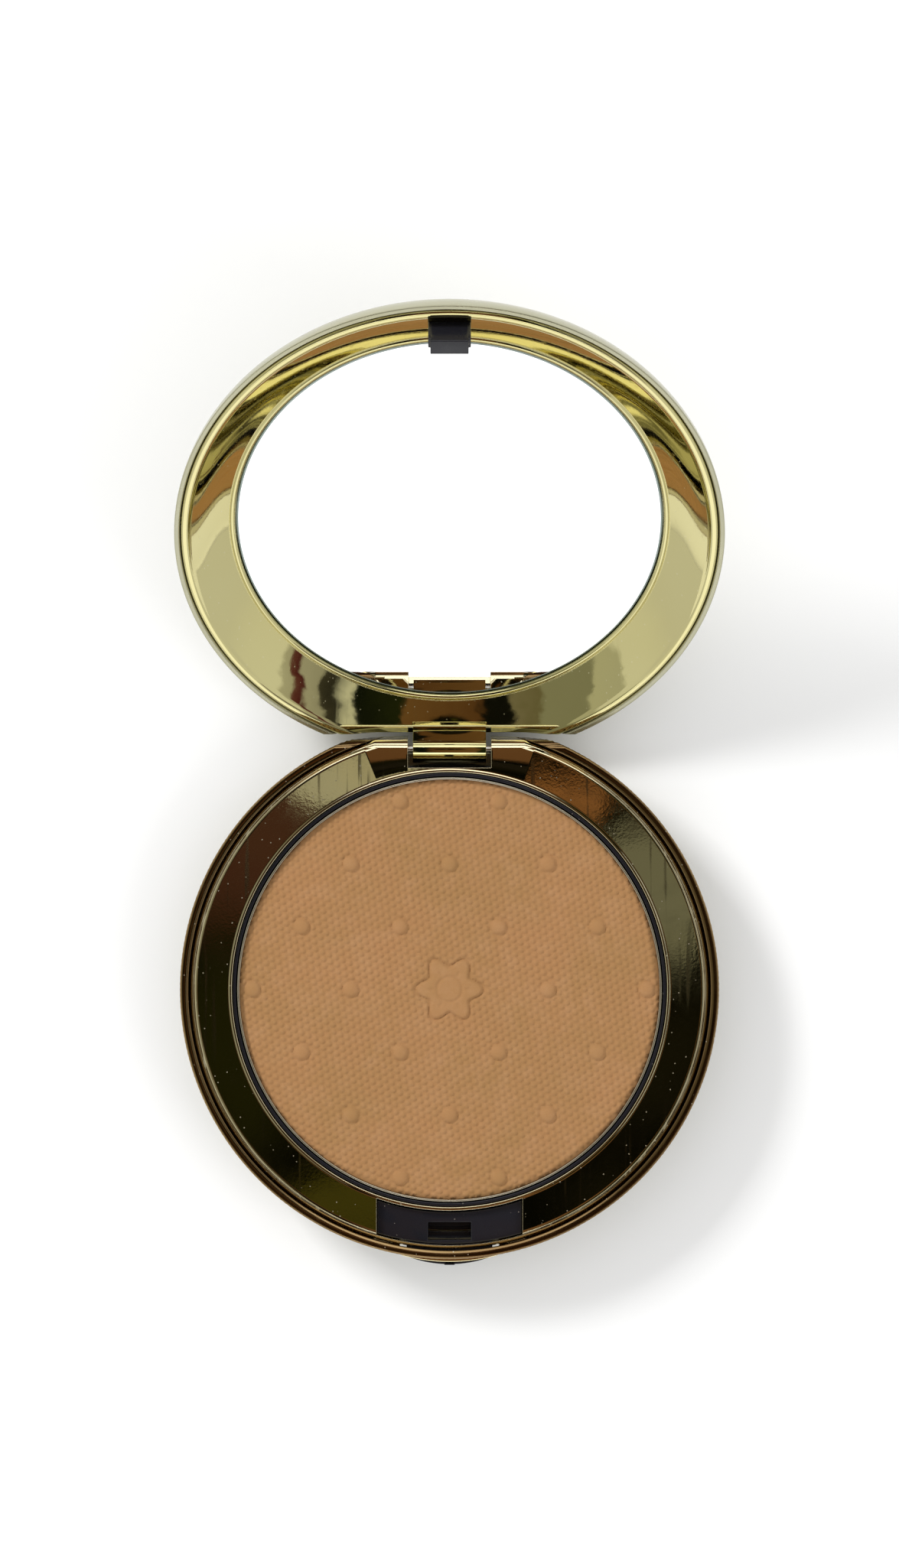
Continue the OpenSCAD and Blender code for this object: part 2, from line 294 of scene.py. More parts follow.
class Nodes:
    """A short way to write a material's nodes."""

    def __init__(self, name):
        self.mat = bpy.data.materials.new(name)
        self.mat.use_nodes = True
        self.tree = self.mat.node_tree
        self.bsdf = self.tree.nodes["Principled BSDF"]
        self.coord = self.tree.nodes.new("ShaderNodeTexCoord").outputs["Object"]

    def put(self, socket, value):
        if hasattr(value, "links"):
            self.tree.links.new(value, socket)
        else:
            socket.default_value = value

    def set(self, **values):
        for k, v in values.items():
            self.put(self.bsdf.inputs[k.replace("_", " ")], v)
        return self

    def noise(self, scale, detail=3.0, rough=0.55, distort=0.0, stretch=None):
        n = self.tree.nodes.new("ShaderNodeTexNoise")
        n.inputs["Scale"].default_value = scale
        n.inputs["Detail"].default_value = detail
        n.inputs["Roughness"].default_value = rough
        n.inputs["Distortion"].default_value = distort
        src = self.coord
        if stretch:
            m = self.tree.nodes.new("ShaderNodeMapping")
            m.inputs["Scale"].default_value = stretch[:3]
            if len(stretch) > 3:
                m.inputs["Rotation"].default_value = stretch[3:]
            self.tree.links.new(src, m.inputs["Vector"])
            src = m.outputs["Vector"]
        self.tree.links.new(src, n.inputs["Vector"])
        return n.outputs["Fac"]

    def specks(self, scale, size):
        """Small round spots at random: 1 in a spot, 0 outside."""
        n = self.tree.nodes.new("ShaderNodeTexVoronoi")
        n.inputs["Scale"].default_value = scale
        n.inputs["Randomness"].default_value = 1.0
        self.tree.links.new(self.coord, n.inputs["Vector"])
        return self.span(n.outputs["Distance"], size * 0.6, size, 1.0, 0.0)

    def span(self, src, a, b, lo, hi):
        m = self.tree.nodes.new("ShaderNodeMapRange")
        m.inputs["From Min"].default_value = a
        m.inputs["From Max"].default_value = b
        m.inputs["To Min"].default_value = lo
        m.inputs["To Max"].default_value = hi
        self.tree.links.new(src, m.inputs["Value"])
        return m.outputs["Result"]

    def math(self, op, a, b=0.0):
        m = self.tree.nodes.new("ShaderNodeMath")
        m.operation = op
        self.put(m.inputs[0], a)
        self.put(m.inputs[1], b)
        return m.outputs[0]

    def mix(self, fac, a, b):
        m = self.tree.nodes.new("ShaderNodeMix")
        m.data_type = "RGBA"
        self.put(m.inputs[0], fac)
        self.put(m.inputs[6], a)
        self.put(m.inputs[7], b)
        return m.outputs[2]

    def bump(self, height, strength, distance, onto=None):
        b = self.tree.nodes.new("ShaderNodeBump")
        b.inputs["Strength"].default_value = strength
        b.inputs["Distance"].default_value = distance
        self.put(b.inputs["Height"], height)
        if onto is not None:
            self.tree.links.new(onto, b.inputs["Normal"])
        return b.outputs["Normal"]

    def round_edges(self, radius):
        b = self.tree.nodes.new("ShaderNodeBevel")
        b.samples = 6
        b.inputs["Radius"].default_value = radius * MM
        return b.outputs["Normal"]


def rgb(*c):
    return (c[0], c[1], c[2], 1.0)


def plated(name, tint, dusk, rough=(0.05, 0.12), dust=0.5, wave=0.012, edge=0.09):
    """Vacuum-plated plastic: soft moulding waves, hairline scratches and a little dust."""
    m = Nodes(name)
    tone = m.span(m.noise(38, 2), 0.35, 0.7, 0.0, 1.0)
    col = m.mix(tone, rgb(*tint), rgb(*dusk))
    spot = m.math("MULTIPLY", m.specks(900, 0.10), dust)
    smear = m.span(m.noise(110, 5, 0.6, 1.2), 0.45, 0.75, rough[0], rough[1])
    hair = m.noise(900, 2, 0.5, 0.0, (1.0, 0.05, 1.0, 0.0, 0.0, 0.6))
    hair = m.span(hair, 0.62, 0.72, 0.0, 0.06)
    n = m.bump(m.noise(55, 1.5), wave, 0.004, m.round_edges(edge))
    n = m.bump(m.noise(2600, 2), 0.004, 0.0002, n)
    m.set(
        Base_Color=m.mix(spot, col, rgb(0.85, 0.80, 0.66)),
        Metallic=m.span(spot, 0.0, 1.0, 1.0, 0.35),
        Roughness=m.math("ADD", m.math("ADD", smear, hair), m.math("MULTIPLY", spot, 0.35)),
        Normal=n,
    )
    return m.mat


def black_plastic(name, edge=0.12):
    m = Nodes(name)
    grain = m.noise(1500, 3)
    scuff = m.span(m.noise(70, 4, 0.6, 0.6), 0.45, 0.75, 0.16, 0.34)
    fleck = m.math("MULTIPLY", m.specks(700, 0.08), 0.5)
    ground = m.mix(m.noise(25, 2), rgb(0.006, 0.006, 0.008), rgb(0.016, 0.016, 0.022))
    m.set(
        Base_Color=m.mix(fleck, ground, rgb(0.25, 0.22, 0.18)),
        Roughness=scuff,
        Normal=m.bump(grain, 0.05, 0.0001, m.round_edges(edge)),
    )
    return m.mat


def satin_case(name, tint, dusk):
    """Satin metallic lacquer with a fine flake."""
    m = Nodes(name)
    flake = m.noise(5200, 2, 0.7)
    tone = m.span(m.noise(30, 3), 0.35, 0.7, 0.0, 1.0)
    m.set(
        Base_Color=m.mix(tone, rgb(*tint), rgb(*dusk)),
        Metallic=0.85,
        Roughness=m.span(m.noise(90, 4, 0.6, 0.8), 0.4, 0.75, 0.24, 0.36),
        Normal=m.bump(flake, 0.10, 0.00006, m.round_edges(0.12)),
    )
    m.bsdf.inputs["Coat Weight"].default_value = 0.35
    m.bsdf.inputs["Coat Roughness"].default_value = 0.12
    return m.mat


gold_bezel = plated(
    "mat_bezel_gold", (0.65, 0.60, 0.315), (0.62, 0.56, 0.27), (0.03, 0.07), dust=0.3, wave=0.014
)
gold_ring = plated(
    "mat_ring_gold", (0.80, 0.72, 0.50), (0.72, 0.63, 0.40), (0.02, 0.055), dust=0.4, wave=0.005
)
bronze_band = plated(
    "mat_band_bronze", (0.30, 0.205, 0.095), (0.20, 0.125, 0.055), (0.12, 0.22), dust=0.4
)
gold_button = plated("mat_button_gold", (0.86, 0.76, 0.46), (0.78, 0.66, 0.36), dust=0.3)
case_gold = satin_case("mat_case_satin", (0.46, 0.45, 0.32), (0.42, 0.405, 0.27))
gloss_black = black_plastic("mat_black_plastic")

m = Nodes("mat_pan_metal")
m.set(
    Base_Color=m.mix(m.noise(60, 3), rgb(0.58, 0.54, 0.44), rgb(0.44, 0.40, 0.31)),
    Metallic=1.0,
    Roughness=m.span(m.noise(240, 4), 0.4, 0.7, 0.22, 0.42),
    Normal=m.bump(m.noise(1900, 2), 0.08, 0.0001),
)
pan_metal = m.mat

m = Nodes("mat_steel")
m.set(
    Base_Color=m.mix(m.noise(90, 3), rgb(0.66, 0.65, 0.62), rgb(0.50, 0.49, 0.46)),
    Metallic=1.0,
    Roughness=m.span(m.noise(600, 3, 0.5, 0.0, (1, 14, 14)), 0.35, 0.7, 0.18, 0.38),
    Normal=m.bump(m.noise(2200, 2, 0.5, 0.0, (1, 20, 20)), 0.10, 0.00008),
)
steel = m.mat

m = Nodes("mat_mirror")
m.set(
    Base_Color=m.mix(m.noise(12, 2), rgb(0.95, 0.955, 0.955), rgb(0.93, 0.94, 0.94)),
    Metallic=1.0,
    Roughness=m.math("ADD", 0.006, m.math("MULTIPLY", m.specks(420, 0.05), 0.25)),
    Normal=m.bump(m.noise(9, 1), 0.004, 0.002),
)
mirror_mat = m.mat

m = Nodes("mat_mirror_edge")
m.set(
    Base_Color=m.mix(m.noise(140, 3), rgb(0.30, 0.38, 0.36), rgb(0.42, 0.48, 0.46)),
    Metallic=0.6,
    Roughness=m.span(m.noise(400, 2), 0.3, 0.7, 0.15, 0.35),
)
mirror_edge = m.mat

m = Nodes("mat_powder")
tone = m.span(m.noise(95, 4, 0.6), 0.35, 0.68, 0.0, 1.0)
grain = m.noise(5200, 4, 0.75)
warm = m.mix(tone, rgb(0.375, 0.196, 0.083), rgb(0.340, 0.187, 0.074))
warm = m.mix(m.span(m.noise(420, 3, 0.6), 0.45, 0.72, 0.0, 0.45), warm, rgb(0.425, 0.238, 0.115))
warm = m.mix(m.span(grain, 0.35, 0.65, 0.0, 0.18), warm, rgb(0.33, 0.15, 0.055))
m.set(
    Base_Color=warm,
    Roughness=m.span(grain, 0.3, 0.7, 0.82, 0.98),
    Normal=m.bump(grain, 0.22, 0.00007, m.bump(m.noise(1500, 3, 0.6), 0.20, 0.00012)),
)
m.bsdf.inputs["Specular IOR Level"].default_value = 0.18
m.bsdf.inputs["Sheen Weight"].default_value = 0.06
m.bsdf.inputs["Sheen Roughness"].default_value = 0.5
powder_mat = m.mat

m = Nodes("mat_tape")
m.set(
    Base_Color=m.mix(m.noise(300, 4), rgb(0.82, 0.80, 0.73), rgb(0.70, 0.68, 0.60)),
    Roughness=m.span(m.noise(900, 3), 0.3, 0.7, 0.6, 0.9),
    Normal=m.bump(m.noise(1800, 3), 0.2, 0.0001),
)
tape_mat = m.mat

m = Nodes("mat_label")
m.set(
    Base_Color=m.mix(m.noise(160, 4), rgb(0.80, 0.78, 0.72), rgb(0.74, 0.72, 0.65)),
    Roughness=m.span(m.noise(700, 3), 0.3, 0.7, 0.38, 0.55),
    Normal=m.bump(m.noise(2400, 3), 0.12, 0.00006),
)
label_mat = m.mat

# ---------------------------------------------------------------- base


def back_flat():
    """Cutter for the flat at the back of the base, with its rounded top edge."""
    round_r = 1.5
    cy = BACK_Y - round_r
    pts = arc(cy, TOP - round_r, round_r, 90, BACK_TILT, 10)
    y, z = pts[-1]
    slope = math.tan(math.radians(BACK_TILT))
    pts += [(y + (z + 3) * slope, -3), (48, -3), (48, TOP + 3), (cy, TOP + 3)]
    return prism("cutter", pts, -FAR, FAR, axis="x")


def back_gap():
    """Cutters for the two steps of the hinge gap."""
    return [
        box(-GAP_W, GAP_W, 30.8, 45, 4.85, TOP + 3),
        box(-GAP_W, GAP_W, 32.9, 45, 2.7, TOP + 2),
    ]


def front_window():
    """Cutter for the opening that the push button passes through."""
    return box(-6.9, 6.9, -45, -33, PLATE_Z - 3.15, PLATE_Z + 0.15)


# Base ring: flat top, rolled outer edge, fine inner lip
RING_TOP = TOP - RING_DROP
prof = [(RING_IN_R, 8.0), (RING_IN_R, 8.86)]
prof += arc(30.34, TOP - 0.14, 0.14, 180, 90, 5)[1:]
prof += [(30.55, TOP), (30.62, RING_TOP), (30.8, RING_TOP), (35.6, RING_TOP)]
prof += arc(RING_R - ROLL_R, TOP - 1.34, ROLL_R, 86, 0, 18)
prof += [(RING_R, 5.62), (SKIRT_R, 5.62), (SKIRT_R, 8.0)]
ring = lathe("base_ring_plated", prof, 900, smooth=34)

# Its recess for the latch, between two arcs
REC_W, REC_OUT_Y, REC_IN_Y = 10.15, -34.07, -28.95
outer = [heading(s * REC_W, REC_OUT_Y) for s in (-1, 1)]
inner = [heading(s * REC_W, REC_IN_Y) for s in (1, -1)]
recess = [(-REC_W, REC_OUT_Y)] + arc(0, 0, 35.55, *outer, 60)[1:-1]
recess += [(REC_W, REC_OUT_Y), (REC_W, REC_IN_Y)] + arc(0, 0, 30.68, *inner, 60)[1:]
cuts = [
    back_flat(),
    box(-GAP_W, GAP_W, 30.8, 45, 0, 14),
    front_window(),
    prism("cutter", recess, 6.8, 12),
    box(-11.1, 11.1, -35.2, -27.0, 6.8, 8.2),
]
combine(ring, cuts)
for s, side in SIDES:
    lug = [(31.7, 5.3), (34.75, 5.3), (34.72, 8.02), (31.7, 8.02)]
    x0, x1 = sorted((s * GAP_W, s * 9.2))
    o = prism("pin_lug", lug, x0, x1, axis="x")
    combine(o, [prism("cutter", pin_circle(BORE_R, 48), -12, 12, axis="x")])
    o.name = "pin_lug_" + side
    give(o, "base", gold_ring, "ring_gold")
give(ring, "base", gold_ring, "ring_gold", "base_ring")

# Knurled band
FLUTES, FLUTE_DEPTH = 288, 0.16


def flutes(ang, r, z):
    """Cuts the flutes into the outside, and fades them out at both edges."""
    if r < CASE_R - 0.95:
        return np.full(len(ang), r)
    k = 0.5 - 0.5 * np.cos(ang * FLUTES)
    upper = min(1.0, max(0.0, (TOP - 0.25 - z) / 0.5))
    lower = min(1.0, max(0.0, (z - BAND_Z - 0.1) / 0.3))
    return r - FLUTE_DEPTH * (upper * lower) * k**0.7


def case_r_at(z):
    return CASE_R - EDGE_R + math.sqrt(max(0.0, EDGE_R**2 - (TOP - z) ** 2))


prof = [(BAND_IN_R, BAND_Z), (BAND_IN_R, TOP - 0.12), (36.35, TOP - 0.03)]
prof += arc(CASE_R - 0.42, TOP - 0.42, 0.40, 90, 6, 8)
zs = np.linspace(TOP - 0.62, BAND_Z + 0.06, 11)
prof += [(case_r_at(z), z) for z in zs]
prof += [(case_r_at(BAND_Z) - 0.08, BAND_Z)]
band = lathe("side_band_knurled", prof, FLUTES * 8, wave=flutes, smooth=50)
combine(band, [back_flat(), *back_gap(), front_window()], smooth=50)
give(band, "base", bronze_band, "band_bronze", "side_band")

# Base shell: smooth bowl with its foot, and the wall inside it
FOOT = -LIFT
out = [(r, TOP - h) for r, h in pebble(CASE_R, EDGE_R, DOME_H, 40, 24)]
out = [p for p in out if FOOT + 0.25 < p[1] < 5.42]
foot_r = next(r for r, h in pebble(CASE_R, EDGE_R, DOME_H, 40, 400)[30:] if TOP - h < FOOT)
prof = [(34.9, 5.5), (out[0][0] - 0.06, 5.5)] + out
prof += [(foot_r + 0.25, FOOT + 0.03), (foot_r - 0.1, FOOT), (16.6, FOOT), (16.42, FOOT + 0.04)]
prof += [(FOOT_HOLE_R, FOOT + 0.15), (0.0, FOOT + 0.15), (0.0, FOOT + 1.2), (24, FOOT + 1.2)]
prof += [(29, FOOT + 2.6), (31.5, 3.0), (31.5, 3.5), (33.95, 3.5), (33.95, 5.2), (34.9, 5.2)]
shell = lathe("base_shell_case", prof, 720, smooth=34)
wall = [(POST_IN_R, 5.0), (POST_OUT_R, 5.0), (POST_OUT_R, 7.9), (POST_IN_R, 7.9)]
wall = lathe("wall", wall, 360)
cuts = [box(-11.1, 11.1, -37, -30, 6.75, 9), box(-9.5, 9.5, 31, 37, 5.2, 9)]
combine(wall, [*cuts, back_flat(), *back_gap(), front_window()])
wall.name = "base_shell_wall_painted_shade"
# The inner wall is given the black plastic so that the hinge gap and the catch slot look dark:
# painted shade
give(wall, "base", gloss_black, "black_plastic")
combine(shell, [back_flat(), *back_gap(), front_window()])
give(shell, "base", case_gold, "case_satin", "base_shell")

# Black tray: the well around the pan and the floor under it
FLOOR_Z = TRAY_Z0 + 1.0
prof = [(0, TRAY_Z0), (TRAY_R, TRAY_Z0), (TRAY_R, TRAY_Z0 + 0.9), (TRAY_R - 0.1, FLOOR_Z)]
prof += [(WELL_OUT_R, FLOOR_Z), (30.1, TRAY_Z1 - 0.1)]
prof += arc(30.0, TRAY_Z1 - 0.1, 0.1, 0, 90, 4)[1:]
prof += arc(29.76, TRAY_Z1 - 0.1, 0.1, 90, 180, 4) + [(WELL_IN_R, FLOOR_Z), (0, FLOOR_Z)]
tray = lathe("pan_tray_black", prof, 480)
combine(tray, [box(-5.9, 5.9, 31, 40, 2, 8)])
give(tray, "base", gloss_black, "black_plastic", "pan_tray")
for s, side in SIDES:
    x0, x1 = sorted((s * 9.4, s * 11.0))
    o = box(x0, x1, -31.2, -29.3, TRAY_Z0 + 0.98, 6.85, name="slide_ledge")
    soften(o, 0.1)
    o.name = "slide_ledge_" + side
    give(o, "base", gloss_black, "black_plastic")

# Pan with a rolled rim
prof = [(0, PAN_Z0), (PAN_R - 0.4, PAN_Z0)] + arc(PAN_R - 0.4, PAN_Z0 + 0.4, 0.4, -90, 0, 6)[1:]
prof += [(PAN_R - 0.05, PAN_Z1 - 0.45), (PAN_R, PAN_Z1 - 0.28)]
prof += arc(PAN_R - 0.17, PAN_Z1 - 0.17, 0.17, 0, 180, 14)[1:]
prof += [(PAN_R - 0.335, PAN_Z1 - 0.4), (PAN_R - TIN, PAN_Z0 + TIN), (0, PAN_Z0 + TIN)]
pan = lathe("powder_pan_tin", prof, 600)
give(pan, "base", pan_metal, "pan_metal", "powder_pan")


# Pressed powder: net relief, raised dots and a plain rosette
NET_H, NET_PITCH, NET_TURN = 0.17, 1.02, 8
DOT_H, DOT_R, DOT_ROW, DOT_COL = 0.42, 1.12, 8.72, 13.7
ROSE_R, ROSE_WAVE, ROSE_LOBES, ROSE_H = 4.0, 0.75, 6, 0.16
GRAIN_H = 0.004
RIM_DROP = 0.12


def smooth01(x):
    x = np.clip(x, 0.0, 1.0)
    return x * x * (3 - 2 * x)


def groove(d, width):
    """1 at d = 0, and down to nothing a few widths away."""
    return np.exp(-((d / width) ** 2))


def cake_height(x, y):
    # Net: rows of small slanted meshes
    k = 4 * math.pi / (math.sqrt(3) * NET_PITCH)
    turn = math.radians(NET_TURN)
    u = x * math.cos(turn) + y * math.sin(turn)
    v = -x * math.sin(turn) + y * math.cos(turn)
    net = np.cos(k * u) + np.cos(k * (-0.5 * u + 0.866 * v)) + np.cos(k * (-0.5 * u - 0.866 * v))
    net = smooth01((net + 0.9) / 1.7)
    r = np.hypot(x, y)
    # Dots on a staggered grid
    dots = np.zeros_like(x)
    clear = np.ones_like(x)
    for j in range(-3, 4):
        for i in range(-3, 4):
            cx = (i + (0.5 if j % 2 else 0.0)) * DOT_COL
            cy = j * DOT_ROW
            if math.hypot(cx, cy) > 28.2 or math.hypot(cx, cy) < 5:
                continue
            d = np.hypot(x - cx, y - cy)
            dots += DOT_H * np.sqrt(np.clip(1 - (d / DOT_R) ** 2, 0, 1))
            dots -= 0.07 * groove(d - 1.28, 0.2)
            clear *= smooth01((d - 1.0) / 0.5)
    # Rosette: a lobed outline, an inner ring and a small boss
    a = np.arctan2(y, x)
    lobes = ROSE_R + ROSE_WAVE * np.cos(ROSE_LOBES * a)
    rose = ROSE_H * smooth01((lobes - r) / 0.5)
    rose -= 0.20 * groove(r - lobes, 0.20)
    rose -= 0.16 * groove(r - 1.75, 0.17)
    spoke = np.abs(np.sin(ROSE_LOBES / 2 * a)) * r
    rose -= 0.13 * groove(spoke, 0.45) * smooth01((r - 1.9) / 0.4) * smooth01((3.1 - r) / 0.5)
    clear *= smooth01((r - lobes - 0.1) / 0.5)
    return NET_H * net * clear + dots + rose


def cake():
    """A square grid inside the rim, whose outer points are moved out onto the rim."""
    step = 0.19
    n = int(CAKE_R / step) + 1
    g = np.arange(-n, n + 1) * step
    X, Y = np.meshgrid(g, g, indexing="ij")
    R = np.hypot(X, Y)
    ok = R <= CAKE_R - 0.3 * step
    quad = ok[:-1, :-1] & ok[1:, :-1] & ok[1:, 1:] & ok[:-1, 1:]
    used = np.zeros_like(ok)
    for di in (0, 1):
        for dj in (0, 1):
            used[di : di + quad.shape[0], dj : dj + quad.shape[1]] |= quad
    full = np.zeros(ok.shape, int)
    for di in (0, 1):
        for dj in (0, 1):
            full[di : di + quad.shape[0], dj : dj + quad.shape[1]] += quad
    rim = used & (full < 4)
    scale = np.where(rim, (CAKE_R - 0.02) / np.maximum(R, 1e-6), 1.0)
    X, Y = X * scale, Y * scale
    rng = np.random.default_rng(7)
    H = cake_height(X, Y)
    H += rng.normal(0, GRAIN_H, H.shape)
    edge = smooth01((CAKE_R - np.hypot(X, Y)) / 0.5)
    H = np.where(rim, -RIM_DROP, H * edge - RIM_DROP * (1 - edge))
    H -= H.max()
    Z = CAKE_Z1 + H
    idx = -np.ones(ok.shape, int)
    idx[used] = np.arange(used.sum())
    verts = np.column_stack([X[used], Y[used], Z[used]]).tolist()
    qi, qj = np.nonzero(quad)
    corners = [idx[qi, qj], idx[qi + 1, qj], idx[qi + 1, qj + 1], idx[qi, qj + 1]]
    faces = np.column_stack(corners).tolist()
    # Walk the rim's edges and drop a wall and a floor from them
    edges = {}
    for f in faces:
        for a, b in zip(f, f[1:] + f[:1]):
            edges[(a, b)] = 1
    nxt = {b: a for (a, b) in edges if (b, a) not in edges}
    start = next(iter(nxt))
    loop, cur = [start], nxt[start]
    while cur != start:
        loop.append(cur)
        cur = nxt[cur]
    base = len(verts)
    verts += [(verts[i][0], verts[i][1], CAKE_Z0) for i in loop]
    m = len(loop)
    faces += [(loop[i], loop[(i + 1) % m], base + (i + 1) % m, base + i) for i in range(m)]
    faces.append(tuple(range(base, base + m)))
    o = link("pressed_powder_cake", verts, faces, smooth=60)
    outward(o)
    return o


give(cake(), "base", powder_mat, "powder", "pressed_powder")

# Hinge pin with rounded ends
half = high("hinge_pin")[0]
pin = prism("hinge_pin_steel", pin_circle(PIN_R, 64), -half, half, axis="x")
soften(pin, 0.12)
give(pin, "base", steel, "steel", "hinge_pin")

# ---------------------------------------------------------------- button and latch plate


def sector(r0, r1, half_w, z0, z1, name):
    """Piece of a ring in front, with straight sides."""
    pts = []
    for r, s in ((r1, 1), (r0, -1)):
        y = -math.sqrt(r**2 - half_w**2)
        pts += arc(0, 0, r, heading(-s * half_w, y), heading(s * half_w, y), 60)
    return prism(name, pts, z0, z1)


def catch_slot():
    """Cutter for the slot that takes the lid's catch."""
    return box(-CATCH_W - 0.2, CATCH_W + 0.2, -34.9, -32.35, 0, 12)


plate = sector(31.0, 35.38, PLATE_W, PLATE_Z - 1.2, PLATE_Z, "latch_plate")
combine(plate, [catch_slot()])
soften(plate, 0.10, 3, 50)
give(plate, "button", gloss_black, "black_plastic", "latch_slider")
flange = sector(31.02, 35.28, PLATE_W + 0.88, PLATE_Z - 1.19, PLATE_Z - 0.21, "latch_flange")
combine(flange, [catch_slot(), box(-9.9, 9.9, -40, -20, 0, 12)])
give(flange, "button", gloss_black, "black_plastic")
# A thin black sheet under the catch slot, so that the slot looks dark: painted shade
slot_shade_sheet = sector(31.6, 33.85, 9.0, 3.52, 3.72, "latch_slot_painted_shade")
soften(slot_shade_sheet, 0.04)
give(slot_shade_sheet, "base", gloss_black, "black_plastic")
step_in = sector(33.98, 34.88, 6.6, 4.96, 5.05, "latch_well_step")
soften(step_in, 0.02)
give(step_in, "base", gloss_black, "black_plastic")

# Stem, lip and nub that join the plate to the cap. The black lip under the cap is painted
# shadow: a black crescent where the cap's shadow falls
STEM_Z = 5.27
stem = [(-5.98, -34.97), (5.98, -34.97)] + arc(0, 0, 36.93, -80.7, -99.3, 24)
stem = prism("button_stem", stem, STEM_Z, 7.88)
soften(stem, 0.08)
give(stem, "button", gloss_black, "black_plastic")
LIP_W, LIP_FACE_R, LIP_Z = 5.88, 16.38, 5.68
cy = 16.4 - 38.5
ang = math.degrees(math.asin(LIP_W / LIP_FACE_R))
lip = [(-LIP_W, -35.5), (LIP_W, -35.5)] + arc(0, cy, LIP_FACE_R, -90 + ang, -90 - ang, 30)
lip = prism("button_lip_painted_shadow", lip, STEM_Z, LIP_Z)
soften(lip, 0.09)
give(lip, "button", gloss_black, "black_plastic")
nub = box(-0.74, 0.74, -38.58, -36.7, STEM_Z, LIP_Z, name="button_nub")
soften(nub, 0.1)
give(nub, "button", gloss_black, "black_plastic")
for s, side in SIDES:
    tab = box(s * 8 - 0.79, s * 8 + 0.79, -32.3, -31.51, 4.92, 6.95, name="spring_tab")
    soften(tab, 0.1)
    tab.name = "spring_tab_" + side
    give(tab, "button", gloss_black, "black_plastic")

# Gold cap of the button, with a rounded face
CAP_W = high("push_button")[0]
CAP_FACE_R, CAP_BACK_R = 25.38, 37.02
cy = 25.4 - 37.9
ang = math.degrees(math.asin(CAP_W / CAP_FACE_R))
inner = math.degrees(math.asin(CAP_W / CAP_BACK_R))
cap = arc(0, cy, CAP_FACE_R, -90 - ang, -90 + ang, 40)
cap += arc(0, 0, CAP_BACK_R, -90 + inner, -90 - inner, 40)
cap = prism("push_button_cap", cap, low("push_button")[2], PLATE_Z)
soften(cap, 0.13, 4, 50)
give(cap, "button", gold_button, "button_gold", "push_button")

# ---------------------------------------------------------------- lid


def lid_flat():
    """Cutter for the flat at the back of the lid."""
    y, t = LID_BACK_Y, LID_BACK_SLOPE
    pts = [(y - 3 * t, RIM - 3), (y + 12 * t, RIM + 12), (50, RIM + 12), (50, RIM - 3)]
    return prism("cutter", pts, -FAR, FAR, axis="x", in_lid=True)


out = pebble(LID_R - 0.01, LID_EDGE_R, LID_H, 40, 30)
ins = pebble(LID_R - 0.78, LID_EDGE_R - 0.78, LID_H - 0.2, 24, 30)
ins = [p for p in ins if p[1] < 5.55]
prof = [(LID_R - 0.66, RIM + 0.06), (LID_R - 0.58, RIM)]
prof += arc(LID_R - 0.16, RIM + 0.15, 0.15, -90, -10, 6)
prof += [(r, RIM + h) for r, h in out[1:] if h > 0.3]
prof += [(0.0, RIM + 5.58), (ins[-1][0], RIM + 5.58)]
prof += [(r, RIM + h) for r, h in reversed(ins) if h > 0.15]
lid = lathe("lid_shell_case", prof, 900, smooth=34, in_lid=True)
combine(lid, [lid_flat()])
give(lid, "lid", case_gold, "case_satin", "lid_shell")

# Wall that closes the lid behind the bezel along the flat
t = LID_BACK_SLOPE
closer = [(31.9 - t, RIM - 1), (31.9 + 9 * t, RIM + 9)]
closer += [(LID_BACK_Y + 9 * t, RIM + 9), (LID_BACK_Y - t, RIM - 1)]
closer = prism("lid_back_wall", closer, -FAR, FAR, axis="x", in_lid=True)
dome = [(r, RIM + h) for r, h in pebble(LID_R - 0.9, LID_EDGE_R - 0.9, LID_H - 0.3, 24, 30)]
dome = [p for p in dome if p[1] > RIM + 2.25]
keep = [(34.8, RIM + 2.25)] + dome + [(0.0, RIM + 6.0), (30.0, RIM + 5.7)]
combine(closer, [lathe("cutter", keep, 360, in_lid=True)], "INTERSECT")
combine(closer, [lid_flat()])
give(closer, "lid", case_gold, "case_satin")

# Dished bezel: bright bead, cone, and a fine lip around the mirror
prof = [(36.05, RIM + 1.6), (36.42, RIM + 0.6)]
prof += dip(36.0, RIM + 0.45, 0.42, 10, 91)
prof += [(35.85, RIM + 0.03)]
prof += dip(35.72, RIM + 0.48, 0.45, 90, 141)
r_a, depth_a = 35.22, 0.42
r_b, depth_b = 30.12, DISH - 0.03
steps = 18
for i in range(steps + 1):
    t = i / steps
    sag = 0.16 * math.sin(math.pi * t)
    r = r_a + (r_b - r_a) * t + sag * 0.6
    prof.append((r, RIM + depth_a + (depth_b - depth_a) * t + sag * 0.5))
prof += [(30.04, RIM + DISH + 0.02), (29.96, RIM + DISH - 0.02)]
prof += dip(29.58, RIM + DISH + 0.33, 0.42, 40, 181)
prof += [(LIP_R + 0.01, RIM + 5.43), (30.6, RIM + 5.22), (30.78, RIM + 4.98)]
prof += [(35.32, RIM + 1.7), (36.0, RIM + 1.65)]
bezel = lathe("lid_bezel_dish", prof, 900, smooth=34, in_lid=True)
combine(bezel, [lid_flat()])
give(bezel, "lid", gold_bezel, "bezel_gold", "lid_bezel")

